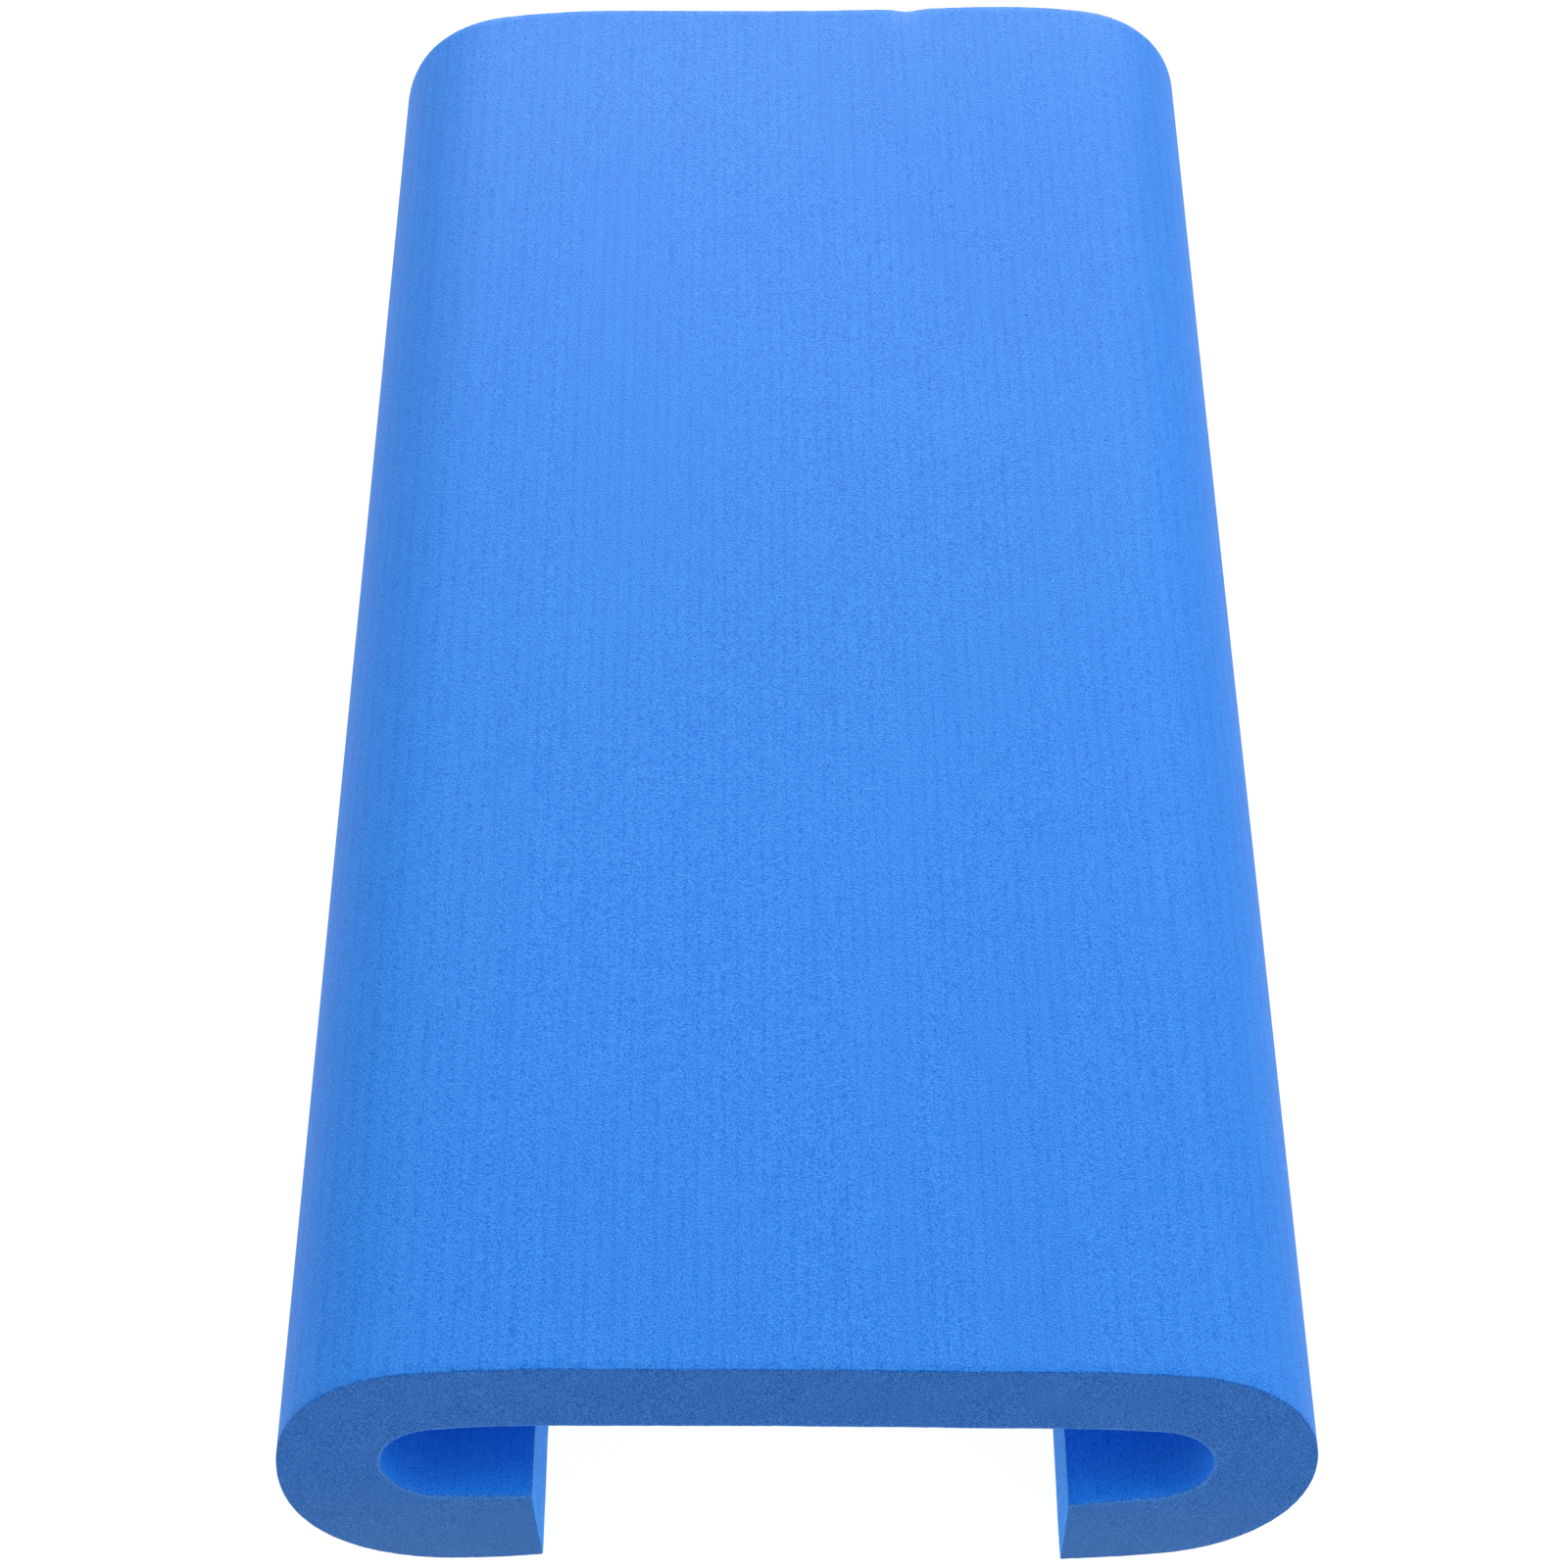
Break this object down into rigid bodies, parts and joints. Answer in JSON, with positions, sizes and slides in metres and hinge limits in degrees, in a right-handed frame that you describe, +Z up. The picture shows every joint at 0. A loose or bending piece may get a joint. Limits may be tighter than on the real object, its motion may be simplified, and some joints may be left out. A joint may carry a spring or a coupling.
{
  "type": "kickboard float",
  "caption": "Foam swimming float: a flat deck whose long sides curl under into in-turned lips, leaving a slot along each side as a hand grip.",
  "frame": {"origin": "centre of the bounding box's base, on the floor that the float's in-turned lips rest on", "axes": "+Z up through the deck, +Y along the float from its front cut end to its rear one, +X across the deck to the right"},
  "size_m": [0.25, 0.515, 0.084],
  "materials": {
    "cut_foam": "matte",
    "outer_skin": "matte",
    "inner_skin": "matte"
  },
  "bodies": {
    "root": {"foam_core": "cut_foam", "outer_skin": "outer_skin", "inner_skin": "inner_skin"}
  },
  "joints": []
}
